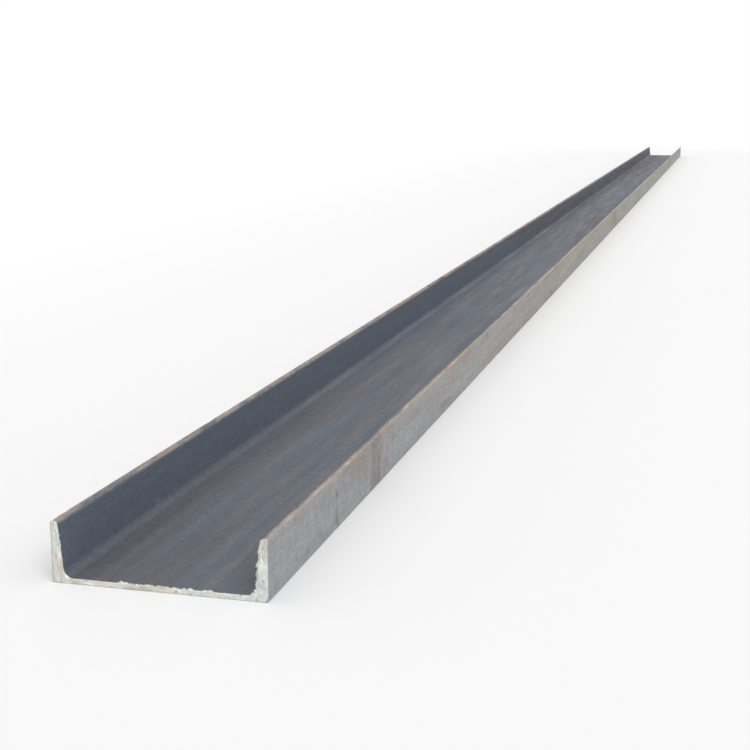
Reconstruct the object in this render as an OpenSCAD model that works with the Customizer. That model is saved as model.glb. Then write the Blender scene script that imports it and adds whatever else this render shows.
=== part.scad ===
// Hot-rolled channel bar with tapered flanges, lying on the back of its web.
// X runs across the section, Y along the bar and Z from the web's back to the toes.
// The origin is under the middle of the bar, on the back of the web.

/* [Section] */
// Height of the section, over the outer faces of the flanges
section_h = 300; // [120:1:400]
// Width of a flange, from the web's back to its toe
flange_b = 85; // [60:1:120]
// Thickness of the web
web_t = 7.5; // [5:0.1:16]
// Mean thickness of a flange, halfway along its free width
flange_t = 13.5; // [9:0.1:20]
// Slope of a flange's inner face, as its run across for each unit of rise
flange_slope = 0.1; // [0:0.01:0.16]

/* [Roundings] */
// Radius of the fillet where a flange leaves the web
root_r = 13.5; // [4:0.1:20]
// Radius of the rounding on a toe's inner edge
toe_r = 6.8; // [2:0.1:9]
// Radius of the outer corners, at the heel and at the toe
corner_r = 1.5; // [0.5:0.1:3]

/* [Bar] */
// Length of the bar between its sawn ends
bar_l = 12000; // [500:100:15000]

/* [Hidden] */

// Sides of a drawn circle
$fn = 96;

half_h = section_h / 2;

// Angle between a flange's inner and outer faces
taper = atan(flange_slope);

// Thickness of a flange at a given height, falling evenly from the web to the toe
function flange_t_at(z) = flange_t + flange_slope * ((flange_b + web_t) / 2 - z);

// Distance from the section's middle to a flange's inner face, at a given height
function inner_x(z) = half_h - flange_t_at(z);

// A toe's rounding stays within the steel that its outer corner leaves
toe_round = min(toe_r, flange_t_at(flange_b) - corner_r);

// Centres of the two arcs that touch the tapered face
root_z = web_t + root_r;
root_x = inner_x(root_z) - root_r / cos(taper);
toe_z = flange_b - toe_round;
toe_x = inner_x(toe_z) + toe_round / cos(taper);

// How far a shape that cuts or fills the section reaches past the face that it works on
overrun = corner_r;

// How far an arc is let into the faces that it touches, so that they always meet
graze_share = 0.0002;
graze = root_r * graze_share;

// The channel with sharp corners: web below, two tapered flanges standing on it
module sharp_section() {
    polygon([
        [-half_h, 0],
        [half_h, 0],
        [half_h, flange_b],
        [inner_x(flange_b), flange_b],
        [inner_x(web_t), web_t],
        [-inner_x(web_t), web_t],
        [-inner_x(flange_b), flange_b],
        [-half_h, flange_b]
    ]);
}

// Steel in the inside corner, under an arc that touches the web and the flange
module root_fillet() {
    reach = root_r + overrun;
    difference() {
        polygon([
            [root_x, root_z],
            [root_x, root_z - reach],
            [root_x + reach * cos(taper), root_z - reach],
            [root_x + reach * cos(taper), root_z - reach * sin(taper)]
        ]);
        translate([root_x, root_z])
            circle(r = root_r + graze);
    }
}

// What is missing from a toe's inner edge, over an arc that touches the toe and the flange
module toe_rounding() {
    reach = toe_round + overrun;
    difference() {
        polygon([
            [toe_x, toe_z],
            [toe_x - reach * cos(taper), toe_z + reach * sin(taper)],
            [toe_x - reach * cos(taper), toe_z + reach],
            [toe_x, toe_z + reach]
        ]);
        translate([toe_x, toe_z])
            circle(r = toe_round + graze);
    }
}

// What is missing from a square outer corner at the origin, with the steel at -X and +Z
module corner_rounding() {
    difference() {
        translate([-corner_r, -overrun])
            square(corner_r + overrun);
        translate([-corner_r, corner_r])
            circle(r = corner_r + graze);
    }
}

module section() {
    difference() {
        union() {
            sharp_section();
            for (side = [0, 1])
                mirror([side, 0])
                    root_fillet();
        }
        for (side = [0, 1])
            mirror([side, 0]) {
                toe_rounding();
                translate([half_h, 0])
                    corner_rounding();
                translate([half_h, flange_b])
                    mirror([0, 1])
                        corner_rounding();
            }
    }
}

module channel() {
    color("lightslategray")
        rotate([90, 0, 0])
            linear_extrude(height = bar_l, center = true)
                section();
}

channel();
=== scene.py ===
"""A hot-rolled steel channel bar with tapered flanges, lying on its web on a pale studio floor.

Units are metres. X runs across the section, Y along the bar and Z up from the web to the toes.
The rates of a noise are its waves in a metre, and a shift or seed only moves it away from the others.
"""
from math import atan, cos, exp, hypot, pi, radians, sin

import bpy
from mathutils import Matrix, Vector, noise


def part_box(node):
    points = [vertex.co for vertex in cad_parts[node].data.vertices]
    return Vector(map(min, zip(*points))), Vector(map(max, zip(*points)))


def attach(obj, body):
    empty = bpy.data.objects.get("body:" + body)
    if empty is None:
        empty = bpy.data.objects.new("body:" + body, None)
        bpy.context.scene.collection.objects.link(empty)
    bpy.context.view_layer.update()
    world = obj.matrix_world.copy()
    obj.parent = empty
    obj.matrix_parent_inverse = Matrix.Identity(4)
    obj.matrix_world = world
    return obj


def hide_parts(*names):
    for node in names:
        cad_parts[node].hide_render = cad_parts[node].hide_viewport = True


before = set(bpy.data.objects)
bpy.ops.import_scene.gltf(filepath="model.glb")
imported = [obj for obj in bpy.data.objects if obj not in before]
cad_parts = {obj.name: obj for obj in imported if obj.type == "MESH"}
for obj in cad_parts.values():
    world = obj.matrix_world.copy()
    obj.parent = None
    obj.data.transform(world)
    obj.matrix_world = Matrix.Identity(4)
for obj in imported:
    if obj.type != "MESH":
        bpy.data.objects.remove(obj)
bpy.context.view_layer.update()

LOW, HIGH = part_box("channel")

# Section: the outer sizes come from the channel part's box, and the others are those of the solid
HALF_H = (HIGH[0] - LOW[0]) / 2
FLANGE_B = HIGH[2] - LOW[2]
BAR_L = HIGH[1] - LOW[1]
WEB_T = 0.0075
FLANGE_T = 0.0135
SLOPE = 0.1
ROOT_R = 0.0135
TOE_R = 0.0068
CORNER_R = 0.0015
TAPER = atan(SLOPE)

# Steps of the outline on one half of the section, all even because coarse rings take every second point
WEB_STEPS = 60
HEEL_RUN_STEPS = 12
HEEL_ARC_STEPS = 6
FOOT_STEPS = 8
FLANGE_STEPS = 30
TOE_STEPS = 12
ACROSS_STEPS = 4
# What a point of the outline lies on
OUTSIDE, TOE, INSIDE = 0, 1, 2

# Rings by their distance from an end: fine ones at the cut, then steps that widen to the bar's middle
FINE_RINGS = [0, 0.0003, 0.0007, 0.0012, 0.0018, 0.0026, 0.0036, 0.005, 0.007, 0.01, 0.014, 0.02, 0.028]
COARSE_STEPS = 150
# About how long the first of those steps is, as a share of an even one
FIRST_STEP_SHARE = 0.31

# Waviness of the rolled skin
WAVE_DEPTH = 0.00015
WAVE_RATES = (7, 1.3, 7)
# Nicks on the outer corners, and how far from a corner they reach
NICK_DEPTH = 0.0012
NICK_REACH = 0.003
NICK_RATES = (9, 31, 9)
FINE_NICK_RATES = (9, 90, 9)

# Flash that the saw left round a cut: its height, and its share of that on the outer faces and the toes
FLASH_LEAST = 0.0002
FLASH_MOST = 0.0024
FLASH_OUTSIDE_SHARE = 0.4
# Distances under the end of a flange where it is least and where it has its full height
FLASH_FADE = (0.0002, 0.003)
# Rates of its teeth and patches, along the outline
TOOTH_RATE = 250
FINE_TOOTH_RATE = 620
PATCH_RATE = 17
# How far its foot runs along the bar: at least this, more in a patch, and a share of its height on top
FOOT_LEAST = 0.0011
FOOT_PATCH = 0.0016
FOOT_HEIGHT_SHARE = 0.3
# Heights of flash between which the rolled skin turns into bare steel
BARE_STEEL = (0.0001, 0.0005)
# Beads of flash on the web's inner edge, as their place across the section and their height
BEADS_NEAR = [(-0.052, 0.0034), (0.071, 0.0026)]
BEADS_FAR = [(0.018, 0.003)]
BEAD_REACH = 0.0028

# Unevenness of the sawn faces, and how far the flash leans out past them, as a share of its height
SAW_ROUGHNESS = 0.0003
SAW_RATES = (45, 1, 90)
FINE_SAW_RATES = (400, 1, 400)
LEAN_SHARE = 0.3
# Seeds of the near and the far end
FLASH_SEEDS = (3.5, 43.5)
SAW_SEEDS = (0.0, 17.0)

# Baked layout, in shares of a square image. Each stretch of the skin, between two distances from the near
# end, fills a box from left and bottom to right and top. The stretches at the ends get the most room.
END_STRETCH = 0.6
SKIN_BOXES = [
    (0, END_STRETCH, 0.5, 0, 1, 0.32),
    (END_STRETCH, BAR_L / 2, 0, 0, 0.25, 1),
    (BAR_L / 2, BAR_L - END_STRETCH, 0.25, 0, 0.5, 1),
    (BAR_L - END_STRETCH, BAR_L, 0.5, 0.32, 1, 0.64),
]
BOX_MARGIN = 0.004
# The sawn faces lie above them, the near and the far one from these heights up, with room for the flash
SAWN_LEFT = 0.5
SAWN_BOTTOMS = (0.66, 0.83)
FLASH_ROOM = 0.003

# Distances from the near end of the marks across the bar, and of a place with many dark smudges
MARK_PLACES = [0.56, 5.0, 9.9]
SMUDGE_PLACE = 2.45
# The four marks at each such place: how far along the bar a mark lies from it, how far the mark reaches
# to either side, and how far its full middle does
MARK_LINE = (0.0, 0.009, 0.002)
MARK_BAND = (-0.03, 0.035, 0.008)
MARK_SMEAR = (0.0, 0.14, 0.02)
MARK_BLOOM = (-0.13, 0.12, 0.02)
MARK_RAGGEDNESS = 0.03
# Wear, between the distance from an edge where it starts and the distance where it is full
TOE_WEAR = (0.006, 0.001)
HEEL_WEAR = (0.004, 0.0)
CORNER_WEAR_DOWN = (0.0022, 0.0006)
CORNER_WEAR_IN = (0.0022, 0.0008)

# Colours of the rolled skin outside
COOL_GREY = (0.304, 0.318, 0.341, 1)
WARM_GREY = (0.305, 0.284, 0.252, 1)
TAN = (0.450, 0.350, 0.265, 1)
RUST = (0.215, 0.135, 0.092, 1)
NEAR_BLACK = (0.085, 0.082, 0.085, 1)
SCALE_BLUE = (0.165, 0.180, 0.205, 1)
RUBBED = (0.500, 0.500, 0.490, 1)
# Colours of the trough, darker than outside partly for its less rubbed scale and partly as painted shade of
# the hollow
SLATE_AND_SHADE = (0.112, 0.138, 0.172, 1)
PURPLE_BROWN_AND_SHADE = (0.112, 0.102, 0.112, 1)
DUST = (0.215, 0.180, 0.150, 1)
# Colours of a sawn end
MINT = (0.590, 0.640, 0.600, 1)
CREAM = (0.690, 0.645, 0.560, 1)
BRIGHT = (0.800, 0.810, 0.785, 1)
END_TAN = (0.500, 0.375, 0.255, 1)
END_BLUE = (0.350, 0.415, 0.445, 1)
END_STAIN = (0.225, 0.165, 0.155, 1)
# Stains of a sawn end: colour, rates across and along the steel, shift, the noise where the stain starts
# and where it is full, and how strong it is
END_STAINS = (
    (BRIGHT, 160, 70, 7.0, 0.48, 0.62, 0.85),
    (END_TAN, 72, 22, 9.0, 0.5, 0.66, 0.7),
    (END_BLUE, 90, 32, 4.0, 0.5, 0.68, 0.7),
    (END_STAIN, 220, 95, 12.0, 0.56, 0.68, 0.75),
    (END_STAIN, 800, 650, 15.0, 0.58, 0.68, 0.75),
)

# Gloss of the rolled skin and of a sawn end
SPECULAR = 0.35
SKIN_METALLIC = 0.28
SKIN_ROUGHNESS = 0.33
FLAKE_ROUGHNESS = 0.7
CUT_METALLIC = 0.45
CUT_ROUGHNESS = 0.45
# Depth of the fine relief that shading gives them
SKIN_RELIEF = 0.0009
CUT_RELIEF = 0.0006
# Slant of the lines that the saw left, and directions of the scratches with their shifts
SAW_SLANT = radians(24)
SCRATCHES = ((radians(4), 2.0), (radians(-9), 5.0), (radians(38), 8.0))

CAMERA_PLACE = (0.698, LOW[1] - 1.557, 0.639)
CAMERA_TURN = radians(14.7)
CAMERA_TILT = radians(11.8)
# In millimetres, as on a real camera
CAMERA_LENS = 66
SENSOR_WIDTH = 36

# Light from all round, and one soft lamp
WORLD_LEVEL = 0.8
LAMP_LEVEL = 1.3
LAMP_SOFTNESS = radians(40)
LAMP_FROM = (0.45, -0.75, 0.75)

WHITE = (1, 1, 1, 1)
FLOOR_PALE = (0.88, 0.88, 0.88, 1)
FLOOR_ROUGHNESS = 0.8
FLOOR_REACH = 4 * BAR_L
# Distances from the bar between which the floor turns white to the eye
FLOOR_FADE = (0.5, 2.2)


def flange_t_at(z):
    """Thickness of a flange at height z."""
    return FLANGE_T + SLOPE * ((FLANGE_B + WEB_T) / 2 - z)


def inner_x(z):
    """Distance from the section's middle to a flange's inner face at height z."""
    return HALF_H - flange_t_at(z)


# Centres of the arcs that touch a flange's inner face
ROOT_Z = WEB_T + ROOT_R
ROOT_X = inner_x(ROOT_Z) - ROOT_R / cos(TAPER)
TOE_Z = FLANGE_B - TOE_R
TOE_X = inner_x(TOE_Z) + TOE_R / cos(TAPER)


def line(a, b, steps):
    """Points from a towards b, without b."""
    return [(a[0] + (b[0] - a[0]) * i / steps, a[1] + (b[1] - a[1]) * i / steps) for i in range(steps)]


def arc(centre, radius, start, end, steps):
    """Points round centre from the angle start towards end, without the last."""
    turns = [start + (end - start) * i / steps for i in range(steps)]
    return [(centre[0] + radius * cos(t), centre[1] + radius * sin(t)) for t in turns]


def half_paths():
    """The right half's outer and inner paths from the middle of the web to the toe, point for point."""
    root_foot = (ROOT_X, WEB_T)
    root_top = (ROOT_X + ROOT_R * cos(TAPER), ROOT_Z - ROOT_R * sin(TAPER))
    toe_foot = (TOE_X - TOE_R * cos(TAPER), TOE_Z + TOE_R * sin(TAPER))
    corner = HALF_H - CORNER_R
    outer = line((0, 0), (ROOT_X, 0), WEB_STEPS)
    outer += line((ROOT_X, 0), (corner, 0), HEEL_RUN_STEPS)
    outer += arc((corner, CORNER_R), CORNER_R, -pi / 2, 0, HEEL_ARC_STEPS)
    outer += line((HALF_H, CORNER_R), (HALF_H, root_top[1]), FOOT_STEPS)
    outer += line((HALF_H, root_top[1]), (HALF_H, FLANGE_B - CORNER_R), FLANGE_STEPS)
    outer += arc((corner, FLANGE_B - CORNER_R), CORNER_R, 0, pi / 2, TOE_STEPS)
    outer.append((corner, FLANGE_B))
    inner = line((0, WEB_T), root_foot, WEB_STEPS)
    inner += arc((ROOT_X, ROOT_Z), ROOT_R, -pi / 2, -TAPER, HEEL_RUN_STEPS + HEEL_ARC_STEPS + FOOT_STEPS)
    inner += line(root_top, toe_foot, FLANGE_STEPS)
    inner += arc((TOE_X, TOE_Z), TOE_R, pi - TAPER, pi / 2, TOE_STEPS)
    inner.append((TOE_X, FLANGE_B))
    return outer, inner


class Outline:
    """The section's closed outline, counter-clockwise, with what each of its points is."""

    def __init__(self):
        outer, inner = half_paths()
        toe = [(TOE, p) for p in line(outer[-1], inner[-1], ACROSS_STEPS)[1:]]
        right = [(OUTSIDE, p) for p in outer] + toe + [(INSIDE, p) for p in reversed(inner)]
        left = [(side, (-x, z)) for side, (x, z) in reversed(right[1:-1])]
        self.side = [side for side, _ in right + left]
        self.points = [p for _, p in right + left]
        self.count = len(self.points)
        self.index_paths(len(outer) - 1)
        self.normals = [self.normal(i) for i in range(self.count)]
        self.along = [0.0]
        for a, b in zip(self.points, self.points[1:] + self.points[:1], strict=True):
            self.along.append(self.along[-1] + hypot(b[0] - a[0], b[1] - a[1]))
        self.arris = [self.near_arris(p, side) for p, side in zip(self.points, self.side, strict=True)]

    def index_paths(self, half):
        """Lists the outer and the inner path from the left toe to the right one, point for point."""
        inner_start = half + ACROSS_STEPS
        self.outer_index = [*range(self.count - half, self.count), *range(half + 1)]
        self.inner_index = [inner_start + 2 * half - i for i in range(2 * half + 1)]

    def normal(self, i):
        """Direction out of the steel at point i."""
        a, b = self.points[i - 1], self.points[(i + 1) % self.count]
        size = hypot(b[0] - a[0], b[1] - a[1])
        return (b[1] - a[1]) / size, (a[0] - b[0]) / size

    def near_arris(self, point, side):
        """1 on an outer corner, falling to 0 at NICK_REACH from it."""
        if side == INSIDE:
            return 0.0
        across = HALF_H - abs(point[0])
        gap = min(hypot(across, point[1]), hypot(across, FLANGE_B - point[1]))
        return max(0.0, 1 - gap / NICK_REACH)


def smooth(value, low, high):
    """0 where value is at low or beyond it, 1 at high or beyond it, and a smooth step between them."""
    t = min(max((value - low) / (high - low), 0.0), 1.0)
    return t * t * (3 - 2 * t)


def noise_at(point, rates):
    """Smooth noise, from -1 to 1, at a point of space."""
    return noise.noise(Vector([p * rate for p, rate in zip(point, rates, strict=True)]))


def bead_height(x, z, far):
    """Height of the beads of flash at a point of the inner path."""
    if z >= ROOT_Z:
        return 0.0
    beads = BEADS_FAR if far else BEADS_NEAR
    return sum(height * exp(-(((x - place) / BEAD_REACH) ** 2)) for place, height in beads)


def flash(outline, i, far):
    """How far the saw's flash stands out from the skin at outline point i, and how far its foot runs."""
    x, z = outline.points[i]
    path, seed = outline.along[i], FLASH_SEEDS[far]
    teeth = noise_at((path, seed, 0.5), (TOOTH_RATE, 1, 1))
    teeth += 0.7 * noise_at((path, seed, 4.5), (FINE_TOOTH_RATE, 1, 1))
    lump = max(0.0, 0.8 * teeth + 0.1)
    patch = smooth(noise_at((path, seed, 9.5), (PATCH_RATE, 1, 1)), -0.12, 0.3)
    height = FLASH_LEAST + FLASH_MOST * lump * (0.18 + 1.25 * patch)
    if outline.side[i] == INSIDE:
        height += bead_height(x, z, far)
    else:
        height *= FLASH_OUTSIDE_SHARE
    foot = FOOT_LEAST + FOOT_PATCH * patch + FOOT_HEIGHT_SHARE * height
    height = FLASH_LEAST + (height - FLASH_LEAST) * smooth(FLANGE_B - z, *FLASH_FADE)
    on_back = z < CORNER_R and outline.side[i] == OUTSIDE
    return 0.0 if on_back else height, foot


def skin_offset(outline, i, y):
    """Waviness of the rolled skin and nicks on its outer corners, along the outline's normal."""
    x, z = outline.points[i]
    offset = WAVE_DEPTH * noise_at((x, y, z), WAVE_RATES)
    worn = outline.arris[i]
    if worn:
        bite = noise_at((x, y, z), NICK_RATES) + 0.35 * noise_at((x, y, z), FINE_NICK_RATES)
        offset -= NICK_DEPTH * worn * (0.12 + smooth(bite, 0.12, 0.62))
    return offset


def saw_offset(x, z, far):
    """Unevenness of a sawn face, outwards along the bar."""
    point = (x, SAW_SEEDS[far], z)
    uneven = 0.7 * noise_at(point, SAW_RATES) + 0.3 * noise_at(point, FINE_SAW_RATES)
    return SAW_ROUGHNESS * uneven


def ring_places():
    """Distances from the near end to every ring, and which rings have all of the outline's points."""
    start = FINE_RINGS[-1]
    span = BAR_L / 2 - start
    half = []
    for i in range(1, COARSE_STEPS + 1):
        t = i / COARSE_STEPS
        half.append(start + span * (FIRST_STEP_SHARE * t + (1 - FIRST_STEP_SHARE) * t * t))
    near = FINE_RINGS + half
    places = near + [BAR_L - s for s in reversed(near[:-1])]
    for edge, *_ in SKIN_BOXES[1:]:
        closest = min(range(len(places)), key=lambda i: abs(places[i] - edge))
        places[closest] = edge
    fine = len(FINE_RINGS)
    return places, [i < fine or i >= len(places) - fine for i in range(len(places))]


class BarMesh:
    """Collects the bar's points, faces, attributes and baked layout."""

    def __init__(self, outline):
        self.outline = outline
        self.points, self.inside, self.cut = [], [], []
        self.faces, self.places = [], []
        self.box = SKIN_BOXES[0]

    def point(self, x, y, z, inside, cut):
        self.points.append((x, y, z))
        self.inside.append(inside)
        self.cut.append(cut)
        return len(self.points) - 1

    def ring(self, s, fine):
        """A ring of points at distance s from the near end."""
        outline = self.outline
        far = s > BAR_L / 2
        to_end = BAR_L - s if far else s
        outward = 1 if far else -1
        ring = {}
        for i in range(0, outline.count, 1 if fine else 2):
            (x, z), (nx, nz) = outline.points[i], outline.normals[i]
            y = LOW[1] + s
            offset = skin_offset(outline, i, y)
            cut = 0.0
            if to_end < FINE_RINGS[-1]:
                height, foot = flash(outline, i, far)
                lip = height * exp(-((to_end / foot) ** 2))
                offset += lip
                cut = smooth(lip, *BARE_STEEL)
            if to_end == 0:
                cut = 1.0
                y += outward * (LEAN_SHARE * offset + saw_offset(x, z, far))
            above_floor = max(z + offset * nz, 0.0)
            ring[i] = self.point(x + offset * nx, y, above_floor, outline.side[i] / INSIDE, cut)
        return ring

    def lay(self, s, i):
        """Place of outline point i, at distance s, in the box of the baked layout that is being filled."""
        start, end, left, bottom, right, top = self.box
        around = self.outline.along[i] / self.outline.along[-1]
        wide, high = right - left - 2 * BOX_MARGIN, top - bottom - 2 * BOX_MARGIN
        return right - BOX_MARGIN - wide * around, bottom + BOX_MARGIN + high * (s - start) / (end - start)

    def face(self, corners):
        """A face of (point, distance, outline index) corners."""
        self.faces.append([c[0] for c in corners])
        self.places.append([self.lay(c[1], c[2]) for c in corners])

    def bridge(self, a, s_a, b, s_b):
        """Faces between two rings, of which one may have only every second point."""
        count = self.outline.count
        self.box = next(box for box in SKIN_BOXES if s_b <= box[1])
        fine_a, fine_b = len(a) == count, len(b) == count
        step = 1 if fine_a and fine_b else 2
        for i in range(0, count, step):
            j, mid = i + step, i + 1
            a0, a1 = (a[i], s_a, i), (a[j % count], s_a, j)
            b0, b1 = (b[i], s_b, i), (b[j % count], s_b, j)
            if fine_a == fine_b:
                self.face([a0, b0, b1, a1])
            elif fine_a:
                am = (a[mid], s_a, mid)
                self.face([a0, b0, am])
                self.face([am, b0, b1])
                self.face([am, b1, a1])
            else:
                bm = (b[mid], s_b, mid)
                self.face([a0, b0, bm])
                self.face([a0, bm, a1])
                self.face([a1, bm, b1])

    def toe_row(self, ring, o, i):
        """The ring's own points over a toe, from outline index o to i."""
        toe = list(range(min(o, i), max(o, i) + 1))
        return [ring[t] for t in (toe if o < i else reversed(toe))]

    def sawn_row(self, ring, o, i, far):
        """Points straight across the steel of a sawn face, from outline index o to i."""
        outward = 1 if far else -1
        a, b = self.points[ring[o]], self.points[ring[i]]
        row = [ring[o]]
        for step in range(1, ACROSS_STEPS):
            t = step / ACROSS_STEPS
            x, y, z = (a[n] + (b[n] - a[n]) * t for n in range(3))
            y += outward * saw_offset(x, z, far)
            row.append(self.point(x, y, z, 0.5, 1.0))
        return [*row, ring[i]]

    def end(self, ring, far):
        """Closes a sawn end with rows of faces from the outer to the inner path."""
        outline = self.outline
        pairs = list(zip(outline.outer_index, outline.inner_index, strict=True))
        rows = [self.toe_row(ring, *pairs[0])]
        rows += [self.sawn_row(ring, o, i, far) for o, i in pairs[1:-1]]
        rows.append(self.toe_row(ring, *pairs[-1]))
        for row, following in zip(rows, rows[1:], strict=False):
            for n in range(ACROSS_STEPS):
                corners = [row[n], following[n], following[n + 1], row[n + 1]]
                self.faces.append(corners[::-1] if far else corners)
                self.places.append([self.lay_end(c, far) for c in self.faces[-1]])

    def lay_end(self, point, far):
        """Place of a point of a sawn face in the baked layout."""
        x, _, z = self.points[point]
        zoom = (1 - SAWN_LEFT - 2 * BOX_MARGIN) / (2 * (HALF_H + FLASH_ROOM))
        across = HALF_H + FLASH_ROOM + (-x if far else x)
        return SAWN_LEFT + BOX_MARGIN + zoom * across, SAWN_BOTTOMS[far] + zoom * z

    def build(self, name):
        mesh = bpy.data.meshes.new(name)
        mesh.from_pydata(self.points, [], self.faces)
        mesh.update()
        for label, values in (("inside", self.inside), ("cut", self.cut)):
            mesh.attributes.new(label, "FLOAT", "POINT").data.foreach_set("value", values)
        layout = mesh.uv_layers.new(name="OFBake")
        layout.data.foreach_set("uv", [v for places in self.places for place in places for v in place])
        mesh.polygons.foreach_set("use_smooth", [True] * len(mesh.polygons))
        return mesh


def make_bar():
    """The bar as one closed mesh, from one sawn end to the other."""
    bar = BarMesh(Outline())
    places, fine = ring_places()
    rings = [bar.ring(s, f) for s, f in zip(places, fine, strict=True)]
    for k in range(len(rings) - 1):
        bar.bridge(rings[k], places[k], rings[k + 1], places[k + 1])
    bar.end(rings[0], False)
    bar.end(rings[-1], True)
    obj = bpy.data.objects.new("channel_bar", bar.build("channel_bar"))
    bpy.context.collection.objects.link(obj)
    return obj


class Nodes:
    """Short calls that add nodes to a material or world and return their output sockets."""

    def __init__(self, owner):
        owner.use_nodes = True
        self.tree = owner.node_tree
        self.tree.nodes.clear()

    def add(self, kind, inputs=None, output=0, **settings):
        node = self.tree.nodes.new("ShaderNode" + kind)
        for name, value in settings.items():
            setattr(node, name, value)
        for key, value in (inputs or {}).items():
            if isinstance(value, bpy.types.NodeSocket):
                self.tree.links.new(value, node.inputs[key])
            else:
                node.inputs[key].default_value = value
        return node.outputs[output]

    def show(self, surface, kind="Material"):
        output = self.tree.nodes.new("ShaderNodeOutput" + kind)
        self.tree.links.new(surface, output.inputs["Surface"])

    def object_point(self):
        """The shaded point in the object's own frame."""
        return self.add("TexCoord", output="Object")

    def axes(self, point):
        """The point's x, y and z."""
        return self.add("SeparateXYZ", {0: point}).node.outputs

    def seen(self):
        """1 for what the eye or a reflection sees directly, and 0 for light on its way."""
        rays = self.add("LightPath").node.outputs
        return self.most(rays["Is Camera Ray"], rays["Is Glossy Ray"])

    def math(self, operation, a, b=0.0, c=0.0):
        return self.add("Math", {0: a, 1: b, 2: c}, operation=operation)

    def most(self, a, b):
        return self.math("MAXIMUM", a, b)

    def product(self, first, *others):
        for other in others:
            first = self.math("MULTIPLY", first, other)
        return first

    def total(self, *terms, start=0.0):
        """start plus every (value, weight) term, held between 0 and 1."""
        total = start
        for value, weight in terms:
            total = self.math("MULTIPLY_ADD", value, weight, total)
        total.node.use_clamp = True
        return total

    def mask(self, value, low, high):
        """0 where value is at low or beyond it, 1 at high or beyond it, smooth between them."""
        inputs = {"Value": value, "From Min": low, "From Max": high}
        return self.add("MapRange", inputs, interpolation_type="SMOOTHSTEP")

    def near(self, value, place, reach, core):
        """1 where value is within core of place, 0 where it is at reach or further, smooth between them."""
        return self.mask(self.math("ABSOLUTE", self.math("SUBTRACT", value, place)), reach, core)

    def blend(self, share, a, b):
        """A number from a to b."""
        return self.add("Mix", {0: share, 2: a, 3: b})

    def mix(self, share, a, b):
        """A colour or direction from a to b."""
        return self.add("Mix", {0: share, 6: a, 7: b}, output=2, data_type="RGBA")

    def shade(self, colour, value, depth):
        """The colour, lighter where value is over a half and darker where it is under, by depth at most."""
        level = self.math("MULTIPLY_ADD", value, 2 * depth, 1 - depth)
        return self.add("VectorMath", {0: colour, 3: level}, operation="SCALE")

    def noise(self, point, rates, shift=(0, 0, 0), detail=3.0, roughness=0.5):
        """Noise from 0 to 1."""
        scaled = self.add("VectorMath", {0: point, 1: rates}, operation="MULTIPLY")
        moved = self.add("VectorMath", {0: scaled, 1: shift}, operation="ADD")
        inputs = {"Vector": moved, "Scale": 1.0, "Detail": detail, "Roughness": roughness}
        return self.add("TexNoise", inputs)

    def turn(self, point, angle, axis):
        return self.add("VectorRotate", {"Vector": point, "Angle": angle}, rotation_type=axis + "_AXIS")

    def attribute(self, name):
        return self.add("Attribute", output="Fac", attribute_name=name)

    def bump(self, height, strength, distance):
        return self.add("Bump", {"Height": height, "Strength": strength, "Distance": distance})


def skin_colour(n, point, y, z):
    """Colour of the rolled skin outside: cool grey at the near end, warmer along the bar and to the toes."""
    clouds = n.noise(point, (7, 1.1, 12), detail=5, roughness=0.6)
    drift = n.mask(y, LOW[1] - 0.5, LOW[1] + 3)
    rise = n.mask(z, 0.2 * FLANGE_B, FLANGE_B)
    warm = n.total((drift, 0.75), (rise, 0.3), (clouds, 1.2), start=-0.62)
    colour = n.mix(warm, COOL_GREY, WARM_GREY)
    scale = n.noise(point, (46, 22, 46), (8, 2, 5), detail=8, roughness=0.72)
    colour = n.mix(n.product(n.mask(scale, 0.5, 0.57), 0.2), colour, SCALE_BLUE)
    rust = n.noise(point, (13, 3, 22), (5, 9, 2), detail=6, roughness=0.7)
    return n.mix(n.product(n.mask(rust, 0.52, 0.78), 0.45), colour, RUST)


def trough_colour_and_shade(n, point, z):
    """Colour of the trough: slate scale with purple-brown clouds, made dark partly as painted shade, and
    pale dust on the web.
    """
    clouds = n.noise(point, (6, 0.22, 12), (11, 4, 6), detail=5, roughness=0.6)
    # The slate and purple-brown are dark partly as the trough's own scale and partly as painted shade of the
    # hollow
    colour = n.mix(n.mask(clouds, 0.44, 0.68), SLATE_AND_SHADE, PURPLE_BROWN_AND_SHADE)
    dust = n.noise(point, (24, 0.45, 30), (2, 2, 9), detail=6, roughness=0.7)
    low = n.mask(z, ROOT_Z, WEB_T)
    return n.mix(n.product(n.mask(dust, 0.42, 0.75), low, 0.5), colour, DUST)


def at_marks(n, y, mark):
    """1 in the full middle of one kind of mark, at each of its places, and 0 where it doesn't reach."""
    offset, reach, core = mark
    share = 0.0
    for place in MARK_PLACES:
        share = n.most(share, n.near(y, LOW[1] + place + offset, reach, core))
    return share


def cross_marks(n, point, y, z, colour):
    """Marks across the bar: a thin broken line, a soft dark band, a brown smear and a bloom before it."""
    ragged = n.noise(point, (22, 60, 22), (9, 9, 9), detail=4, roughness=0.7)
    moved = n.math("MULTIPLY_ADD", ragged, MARK_RAGGEDNESS, n.math("SUBTRACT", y, MARK_RAGGEDNESS / 2))
    patchy = n.mask(ragged, 0.38, 0.62)
    to_toe = n.mask(z, 0.25 * FLANGE_B, 0.8 * FLANGE_B)
    colour = n.mix(n.product(at_marks(n, moved, MARK_BLOOM), to_toe, 0.34), colour, RUST)
    colour = n.mix(n.product(at_marks(n, moved, MARK_SMEAR), patchy, 0.3), colour, RUST)
    # A darker grey band just before each mark place
    colour = n.mix(n.product(at_marks(n, moved, MARK_BAND), 0.3), colour, NEAR_BLACK)
    return n.mix(n.product(at_marks(n, moved, MARK_LINE), patchy, 0.6), colour, NEAR_BLACK)


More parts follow.
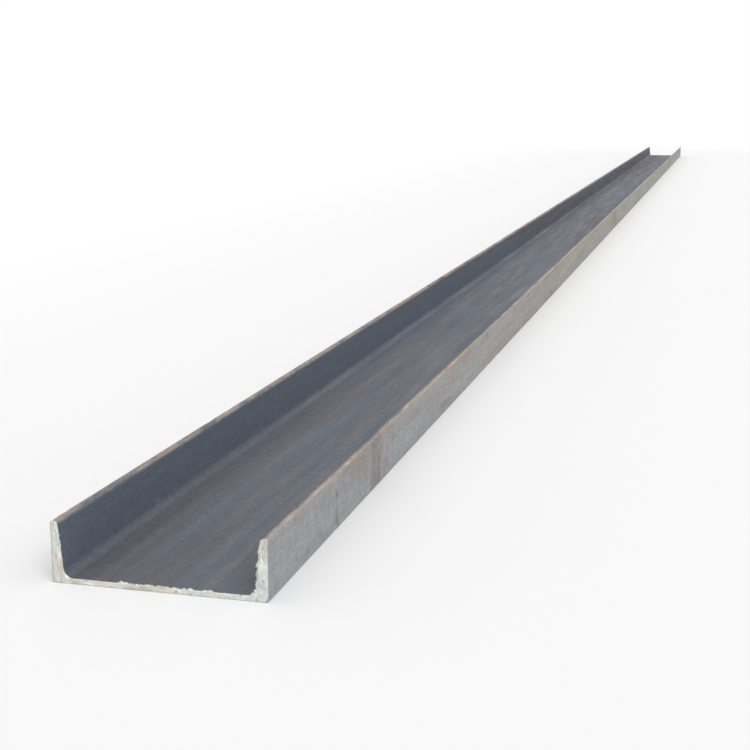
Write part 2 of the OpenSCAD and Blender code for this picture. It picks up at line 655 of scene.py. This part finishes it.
def smudges(n, point, y, colour):
    """Short dark marks across the flanges, close together at one place and rare elsewhere."""
    marks = n.noise(point, (3, 38, 13), (6, 6, 1), detail=6, roughness=0.64)
    patches = n.noise(point, (2, 1.3, 5), (4, 4, 4), detail=2)
    together = n.near(y, LOW[1] + SMUDGE_PLACE, 0.4, 0.15)
    where = n.most(together, n.mask(patches, 0.52, 0.62))
    return n.mix(n.product(n.mask(marks, 0.56, 0.66), where, 0.7), colour, NEAR_BLACK)


def edge_wear(n, point, x_out, z, colour):
    """A tan line along the toes and heels, and rubbed bright steel on the outer corners of the toes."""
    broken = n.noise(point, (40, 14, 40), (8, 3, 3), detail=5, roughness=0.7)
    down = n.math("SUBTRACT", FLANGE_B, z)
    toe = n.product(n.mask(down, *TOE_WEAR), n.mask(broken, 0.3, 0.6))
    heel = n.product(n.mask(z, *HEEL_WEAR), n.mask(broken, 0.45, 0.7))
    colour = n.mix(n.product(n.most(toe, heel), 0.7), colour, TAN)
    inwards = n.math("SUBTRACT", HALF_H, x_out)
    corner = n.product(n.mask(down, *CORNER_WEAR_DOWN), n.mask(inwards, *CORNER_WEAR_IN))
    return n.mix(n.product(corner, n.mask(broken, 0.5, 0.62), 0.8), colour, RUBBED)


def grain(n, point, colour):
    """Mottled grain of the scale, with streaks along the bar and hairlines across it."""
    mottle = n.noise(point, (100, 45, 100), detail=4, roughness=0.6)
    streaks = n.noise(point, (110, 1.8, 110), (3, 1, 7), detail=4, roughness=0.65)
    hairlines = n.noise(point, (38, 130, 34), (3, 7, 1), detail=2)
    specks = n.noise(point, (430, 210, 430), roughness=0.7)
    for pattern, depth in ((mottle, 0.2), (streaks, 0.14), (hairlines, 0.08), (specks, 0.42)):
        colour = n.shade(colour, pattern, depth)
    return colour


def scratches(n, point):
    """Where thin scratches run, mostly along the bar."""
    lines = 0.0
    for angle, shift in SCRATCHES:
        turned = n.turn(n.turn(point, angle, "X"), angle, "Z")
        fibres = n.noise(turned, (380, 3.5, 380), (shift, shift, 0), detail=1, roughness=0.4)
        lines = n.most(lines, n.mask(fibres, 0.71, 0.79))
    patches = n.noise(point, (9, 4, 9), (1, 1, 6), detail=2)
    return n.product(lines, n.mask(patches, 0.42, 0.62))


def drawn_noise(n, point, x_out, across, along, shift):
    """Noise on a sawn end that is drawn out along the web and up the flanges."""
    web = n.noise(point, (along, 1, across), (shift, shift, 0), detail=6, roughness=0.68)
    flange = n.noise(point, (across, 1, along), (0, shift, shift), detail=6, roughness=0.68)
    return n.blend(n.mask(x_out, ROOT_X, ROOT_X + ROOT_R), web, flange)


def end_colour(n, point, x_out, lines):
    """Colour of a sawn end: pale mint and cream steel with tan, blue-grey and brown stains."""
    colour = n.mix(n.mask(drawn_noise(n, point, x_out, 60, 22, 2.0), 0.42, 0.62), MINT, CREAM)
    for stain, across, along, shift, low, high, share in END_STAINS:
        mask = n.mask(drawn_noise(n, point, x_out, across, along, shift), low, high)
        colour = n.mix(n.product(mask, share), colour, stain)
    return n.shade(colour, lines, 0.3)


def saw_lines(n, point):
    """Height of the lines that the saw left, slanting across the section."""
    return n.noise(n.turn(point, SAW_SLANT, "Y"), (780, 20, 22), roughness=0.6)


def skin_bump(n, point, flakes, scratched):
    """Fine relief of the rolled skin: pits, flakes of scale and scratches."""
    pits = n.noise(point, (280, 112, 280), detail=5, roughness=0.68)
    height = n.math("MULTIPLY_ADD", pits, 0.5, n.product(flakes, 0.6))
    height = n.math("MULTIPLY_ADD", scratched, -0.15, height)
    return n.bump(height, 0.55, SKIN_RELIEF)


def cut_bump(n, point, lines):
    """Fine relief of a sawn end: the saw's lines and a rough grain."""
    rough = n.noise(point, (500, 500, 500), detail=4, roughness=0.7)
    return n.bump(n.math("ADD", lines, rough), 0.5, CUT_RELIEF)


def steel_material():
    """One material for the whole bar: the rolled skin outside and in, and the sawn ends where `cut` is 1."""
    material = bpy.data.materials.new("hot_rolled_steel")
    n = Nodes(material)
    point = n.object_point()
    x, y, z = n.axes(point)
    x_out = n.math("ABSOLUTE", x)
    inside = n.mask(n.attribute("inside"), 0.4, 0.9)
    cut = n.attribute("cut")

    skin = smudges(n, point, y, cross_marks(n, point, y, z, skin_colour(n, point, y, z)))
    # Inner faces take the trough's colour, which holds painted shade
    skin = n.mix(inside, skin, trough_colour_and_shade(n, point, z))
    skin = grain(n, point, edge_wear(n, point, x_out, z, skin))
    scratched = scratches(n, point)
    skin = n.mix(n.product(scratched, 0.28), skin, RUBBED)
    lines = saw_lines(n, point)
    flakes = n.noise(point, (38, 2.66, 38), (114, 114, 114), detail=4, roughness=0.55)
    skin_rough = n.math("MULTIPLY_ADD", flakes, FLAKE_ROUGHNESS, SKIN_ROUGHNESS)

    n.show(n.add("BsdfPrincipled", {
        "Base Color": n.mix(cut, skin, end_colour(n, point, x_out, lines)),
        "Roughness": n.blend(cut, skin_rough, CUT_ROUGHNESS),
        "Metallic": n.blend(cut, SKIN_METALLIC, CUT_METALLIC),
        "Specular IOR Level": SPECULAR,
        "Normal": n.mix(cut, skin_bump(n, point, flakes, scratched), cut_bump(n, point, lines)),
    }))
    return material


def floor_material():
    """Pale floor that keeps shadows near the bar and turns plain white to the eye further off."""
    material = bpy.data.materials.new("studio_floor")
    n = Nodes(material)
    x, y, _ = n.axes(n.object_point())
    past_end = n.most(n.math("SUBTRACT", n.math("ABSOLUTE", y), BAR_L / 2), 0.0)
    away = n.math("SQRT", n.math("ADD", n.math("POWER", x, 2.0), n.math("POWER", past_end, 2.0)))
    white = n.product(n.mask(away, *FLOOR_FADE), n.seen())
    pale = n.add("BsdfPrincipled", {"Base Color": FLOOR_PALE, "Roughness": FLOOR_ROUGHNESS})
    glow = n.add("Emission", {"Color": WHITE, "Strength": 1.0})
    n.show(n.add("MixShader", {0: white, 1: pale, 2: glow}))
    return material


def make_floor():
    mesh = bpy.data.meshes.new("studio_floor")
    signs = [(-1, -1), (1, -1), (1, 1), (-1, 1)]
    mesh.from_pydata([(x * FLOOR_REACH, y * FLOOR_REACH, 0) for x, y in signs], [], [(0, 1, 2, 3)])
    mesh.materials.append(floor_material())
    floor = bpy.data.objects.new("studio_floor", mesh)
    bpy.context.collection.objects.link(floor)


def light_studio():
    """Even white light from all round, with one soft lamp high on the near right."""
    world = bpy.data.worlds.new("studio")
    bpy.context.scene.world = world
    n = Nodes(world)
    level = n.blend(n.seen(), WORLD_LEVEL, 1.0)
    n.show(n.add("Background", {"Color": WHITE, "Strength": level}), "World")

    lamp = bpy.data.lights.new("studio_lamp", "SUN")
    lamp.energy = LAMP_LEVEL
    lamp.angle = LAMP_SOFTNESS
    holder = bpy.data.objects.new("studio_lamp", lamp)
    holder.rotation_euler = Vector(LAMP_FROM).to_track_quat("Z", "Y").to_euler()
    bpy.context.collection.objects.link(holder)


def place_camera():
    """The camera stands to the right of the near end, above the bar, and is turned to take in all of it."""
    data = bpy.data.cameras.new("camera")
    data.lens = CAMERA_LENS
    data.sensor_width = SENSOR_WIDTH
    camera = bpy.data.objects.new("camera", data)
    camera.location = CAMERA_PLACE
    camera.rotation_euler = (pi / 2 - CAMERA_TILT, 0, CAMERA_TURN)
    bpy.context.collection.objects.link(camera)
    bpy.context.scene.camera = camera


place_camera()
bar = make_bar()
bar.data.materials.append(steel_material())
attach(bar, "root")
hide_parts("channel")
make_floor()
light_studio()
bpy.context.scene.view_settings.view_transform = "Standard"
